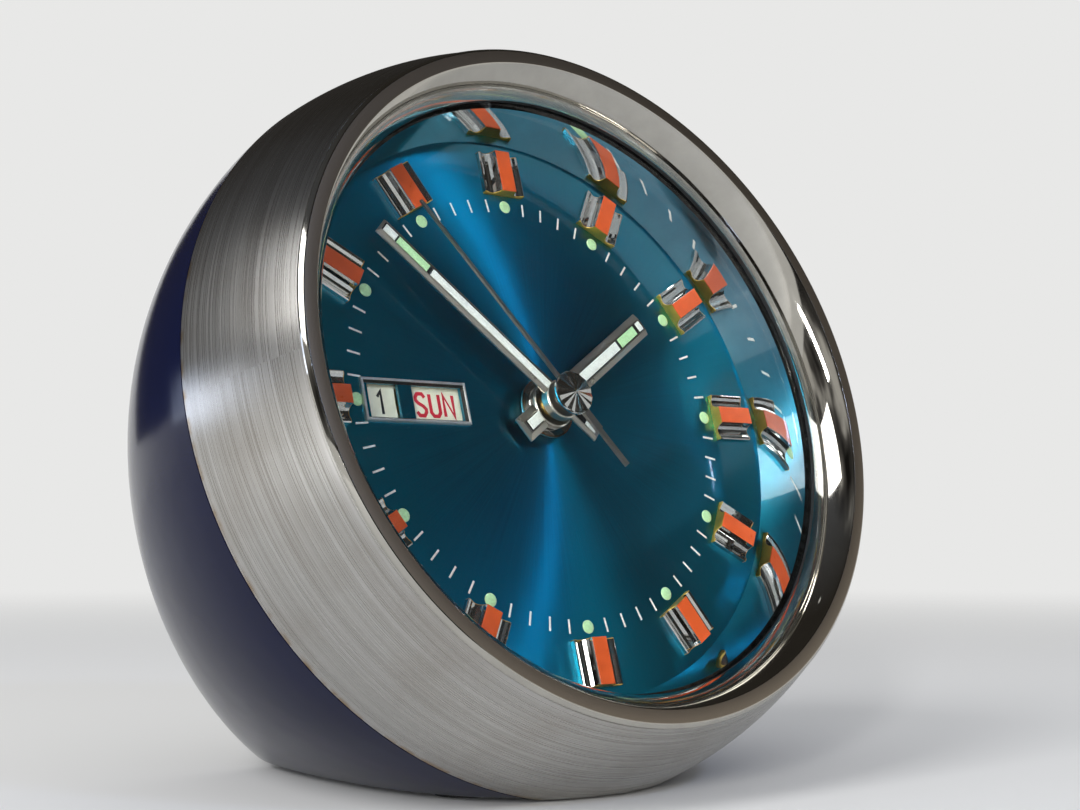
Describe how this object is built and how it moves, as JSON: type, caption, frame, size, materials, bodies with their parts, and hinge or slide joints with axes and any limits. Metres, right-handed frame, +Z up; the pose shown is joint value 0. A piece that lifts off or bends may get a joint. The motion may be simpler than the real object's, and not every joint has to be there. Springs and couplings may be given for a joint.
{
  "type": "wind-up desk alarm clock",
  "caption": "Ball-shaped wind-up desk alarm clock with a leaning round dial, day and date window, steel bezel and rear keys.",
  "frame": {"origin": "middle of the footprint box, on the surface the feet stand on", "axes": "+Z up, the dial faces -Y and leans back, +X to the 3 o'clock side"},
  "size_m": [0.1148, 0.0902, 0.1101],
  "materials": {
    "brushed_steel_ring": "circumferentially brushed",
    "polished_steel": "polished",
    "mirror_steel": "mirror polished",
    "black_rubber": "matte",
    "foot_rubber": "matte",
    "crystal_glass": "clear",
    "black_support_plastic": "moulded",
    "navy_shell": "gloss",
    "cover_steel": "satin paint",
    "screw_steel": "turned",
    "dial_blue": "metallic sunray lacquer",
    "marker_chrome": "polished",
    "hand_chrome": "polished, bevelled",
    "alarm_copper": "coppered",
    "plate_brass": "plain",
    "wheel_brass": "cut",
    "key_brass": "polished",
    "spring_steel": "blued",
    "arbor_steel": "turned",
    "bell_steel": "plain",
    "calendar_cream": "matte enamel"
  },
  "bodies": {
    "case": {"front_ring": "brushed_steel_ring", "front_bezel": "polished_steel", "crystal_gasket": "black_rubber", "crystal": "crystal_glass", "reflector_ring": "mirror_steel", "dial_support_ring": "black_support_plastic", "rear_shell": "navy_shell", "back_cover": "cover_steel", "back_cover_screws": "screw_steel", "case_posts": "screw_steel", "base_feet": "foot_rubber", "dial_plate": "dial_blue", "hour_markers": "marker_chrome", "window_frame": "marker_chrome", "calendar_plate": "plate_brass", "front_plate": "plate_brass", "rear_plate": "plate_brass", "plate_pillars": "plate_brass", "pillar_screws": "screw_steel", "centre_bridge": "plate_brass", "balance_pivot_screws": "screw_steel", "time_mainspring": "spring_steel", "alarm_mainspring": "spring_steel", "hairspring": "spring_steel", "bell": "bell_steel"},
    "seconds": {"seconds_arbor": "arbor_steel", "fourth_wheel": "wheel_brass", "seconds_hand": "hand_chrome", "seconds_cap": "hand_chrome"},
    "third wheel": {"third_wheel": "wheel_brass"},
    "centre wheel": {"centre_wheel": "wheel_brass"},
    "time great wheel": {"time_great_wheel": "wheel_brass"},
    "time click": {"time_click": "arbor_steel"},
    "time winding": {"time_arbor": "arbor_steel", "time_key": "key_brass"},
    "escape wheel": {"escape_wheel": "wheel_brass"},
    "pallet lever": {"pallet_lever": "wheel_brass"},
    "balance": {"balance_wheel": "wheel_brass"},
    "regulator": {"regulator_lever": "arbor_steel"},
    "minute": {"cannon_pinion": "arbor_steel", "minute_hand": "hand_chrome"},
    "minute wheel": {"minute_wheel": "wheel_brass"},
    "hour": {"hour_wheel": "wheel_brass", "hour_hand": "hand_chrome"},
    "hand setting": {"set_arbor": "arbor_steel", "set_knob": "key_brass"},
    "alarm hand": {"alarm_wheel": "wheel_brass", "alarm_hand": "alarm_copper"},
    "alarm setting": {"alarm_set_arbor": "arbor_steel", "alarm_set_knob": "key_brass"},
    "alarm great wheel": {"alarm_great_wheel": "wheel_brass"},
    "alarm click": {"alarm_click": "arbor_steel"},
    "alarm winding": {"alarm_arbor": "arbor_steel", "alarm_key": "key_brass"},
    "hammer wheel": {"hammer_wheel": "wheel_brass"},
    "hammer": {"hammer": "arbor_steel"},
    "alarm stop": {"stop_button": "key_brass"},
    "date ring": {"date_ring": "calendar_cream"},
    "day disc": {"day_disc": "calendar_cream"},
    "date driver": {"date_driver": "wheel_brass"}
  },
  "joints": [
    {"name": "seconds turn", "type": "hinge", "parent": "case", "child": "seconds", "pos_m": [0, -0.01961, 0.05708], "axis": [0, 0.9558, -0.294], "continuous": true},
    {"name": "third wheel turn", "type": "hinge", "parent": "case", "child": "third wheel", "pos_m": [-0.00517, 0.00888, 0.05992], "axis": [0, 0.9558, -0.294], "continuous": true},
    {"name": "centre wheel turn", "type": "hinge", "parent": "case", "child": "centre wheel", "pos_m": [0, -0.00346, 0.05211], "axis": [0, 0.9558, -0.294], "continuous": true},
    {"name": "time great wheel turn", "type": "hinge", "parent": "case", "child": "time great wheel", "pos_m": [0.018, 0.00084, 0.05079], "axis": [0, 0.9558, -0.294], "continuous": true},
    {"name": "escape wheel turn", "type": "hinge", "parent": "case", "child": "escape wheel", "pos_m": [0, 0.00393, 0.03703], "axis": [0, 0.9558, -0.294], "continuous": true},
    {"name": "pallet lever rock", "type": "hinge", "parent": "case", "child": "pallet lever", "pos_m": [0, 0.00295, 0.03043], "axis": [0, 0.9558, -0.294], "range_deg": [-5, 5]},
    {"name": "balance swing", "type": "hinge", "parent": "case", "child": "balance", "pos_m": [0, -0.00669, 0.02461], "axis": [0, 0.9558, -0.294], "range_deg": [-200, 200], "stiffness_Nm_per_rad": 0.000012},
    {"name": "regulator swing", "type": "hinge", "parent": "case", "child": "regulator", "pos_m": [0, 0.00525, 0.02093], "axis": [0, 0.9558, -0.294], "range_deg": [-20, 20]},
    {"name": "time winding turn", "type": "hinge", "parent": "case", "child": "time winding", "pos_m": [0.018, 0.03142, 0.04138], "axis": [0, 0.9558, -0.294], "continuous": true},
    {"name": "time click lift", "type": "hinge", "parent": "time great wheel", "child": "time click", "pos_m": [0.0217, 0.00081, 0.0575], "axis": [0, 0.9558, -0.294], "range_deg": [-8, 0], "stiffness_Nm_per_rad": 0.0002, "springref_deg": 1.15},
    {"name": "minute hand turn", "type": "hinge", "parent": "case", "child": "minute", "pos_m": [0, -0.01713, 0.05632], "axis": [0, 0.9558, -0.294], "continuous": true},
    {"name": "minute wheel turn", "type": "hinge", "parent": "case", "child": "minute wheel", "pos_m": [0.0045, -0.01005, 0.04599], "axis": [0, 0.9558, -0.294], "continuous": true},
    {"name": "hour hand turn", "type": "hinge", "parent": "case", "child": "hour", "pos_m": [0, -0.01479, 0.0556], "axis": [0, 0.9558, -0.294], "continuous": true},
    {"name": "hand setting turn", "type": "hinge", "parent": "case", "child": "hand setting", "pos_m": [0.009, 0.02493, 0.02707], "axis": [0, 0.9558, -0.294], "continuous": true},
    {"name": "date driver turn", "type": "hinge", "parent": "case", "child": "date driver", "pos_m": [-0.00375, -0.00294, 0.07421], "axis": [0, 0.9558, -0.294], "continuous": true},
    {"name": "date ring turn", "type": "hinge", "parent": "case", "child": "date ring", "pos_m": [0, -0.01226, 0.05482], "axis": [0, 0.9558, -0.294], "continuous": true},
    {"name": "day disc turn", "type": "hinge", "parent": "case", "child": "day disc", "pos_m": [0, -0.01245, 0.05488], "axis": [0, 0.9558, -0.294], "continuous": true},
    {"name": "alarm hand turn", "type": "hinge", "parent": "case", "child": "alarm hand", "pos_m": [0, -0.01378, 0.05529], "axis": [0, 0.9558, -0.294], "continuous": true},
    {"name": "alarm setting turn", "type": "hinge", "parent": "case", "child": "alarm setting", "pos_m": [-0.01122, 0.02761, 0.03577], "axis": [0, 0.9558, -0.294], "continuous": true},
    {"name": "alarm great wheel turn", "type": "hinge", "parent": "case", "child": "alarm great wheel", "pos_m": [-0.0185, 0.0026, 0.05652], "axis": [0, 0.9558, -0.294], "continuous": true},
    {"name": "hammer wheel turn", "type": "hinge", "parent": "case", "child": "hammer wheel", "pos_m": [-0.01488, 0.00992, 0.06842], "axis": [0, 0.9558, -0.294], "continuous": true},
    {"name": "alarm winding turn", "type": "hinge", "parent": "case", "child": "alarm winding", "pos_m": [-0.0185, 0.03319, 0.04711], "axis": [0, 0.9558, -0.294], "continuous": true},
    {"name": "alarm click lift", "type": "hinge", "parent": "alarm great wheel", "child": "alarm click", "pos_m": [-0.0222, 0.00592, 0.06221], "axis": [0, 0.9558, -0.294], "range_deg": [-8, 0], "stiffness_Nm_per_rad": 0.0002, "springref_deg": 1.15},
    {"name": "hammer swing", "type": "hinge", "parent": "case", "child": "hammer", "pos_m": [-0.01113, 0.02665, 0.07007], "axis": [0, 0.9558, -0.294], "range_deg": [-12, 2]},
    {"name": "alarm stop slide", "type": "slide", "parent": "case", "child": "alarm stop", "axis": [0, -0.9558, 0.294], "range_m": [0, 0.0025]}
  ],
  "couplings": [
    {"joint": "third wheel turn", "follows": "seconds turn", "ratio": -0.13333},
    {"joint": "centre wheel turn", "follows": "seconds turn", "ratio": 0.016667},
    {"joint": "time great wheel turn", "follows": "seconds turn", "ratio": -0.0033333},
    {"joint": "escape wheel turn", "follows": "seconds turn", "ratio": -8},
    {"joint": "minute wheel turn", "follows": "minute hand turn", "ratio": -0.33333},
    {"joint": "hour hand turn", "follows": "minute hand turn", "ratio": 0.083333},
    {"joint": "hand setting turn", "follows": "minute hand turn", "ratio": 1},
    {"joint": "date driver turn", "follows": "minute hand turn", "ratio": -0.041667},
    {"joint": "alarm setting turn", "follows": "alarm hand turn", "ratio": -5},
    {"joint": "hammer wheel turn", "follows": "alarm great wheel turn", "ratio": -6}
  ]
}
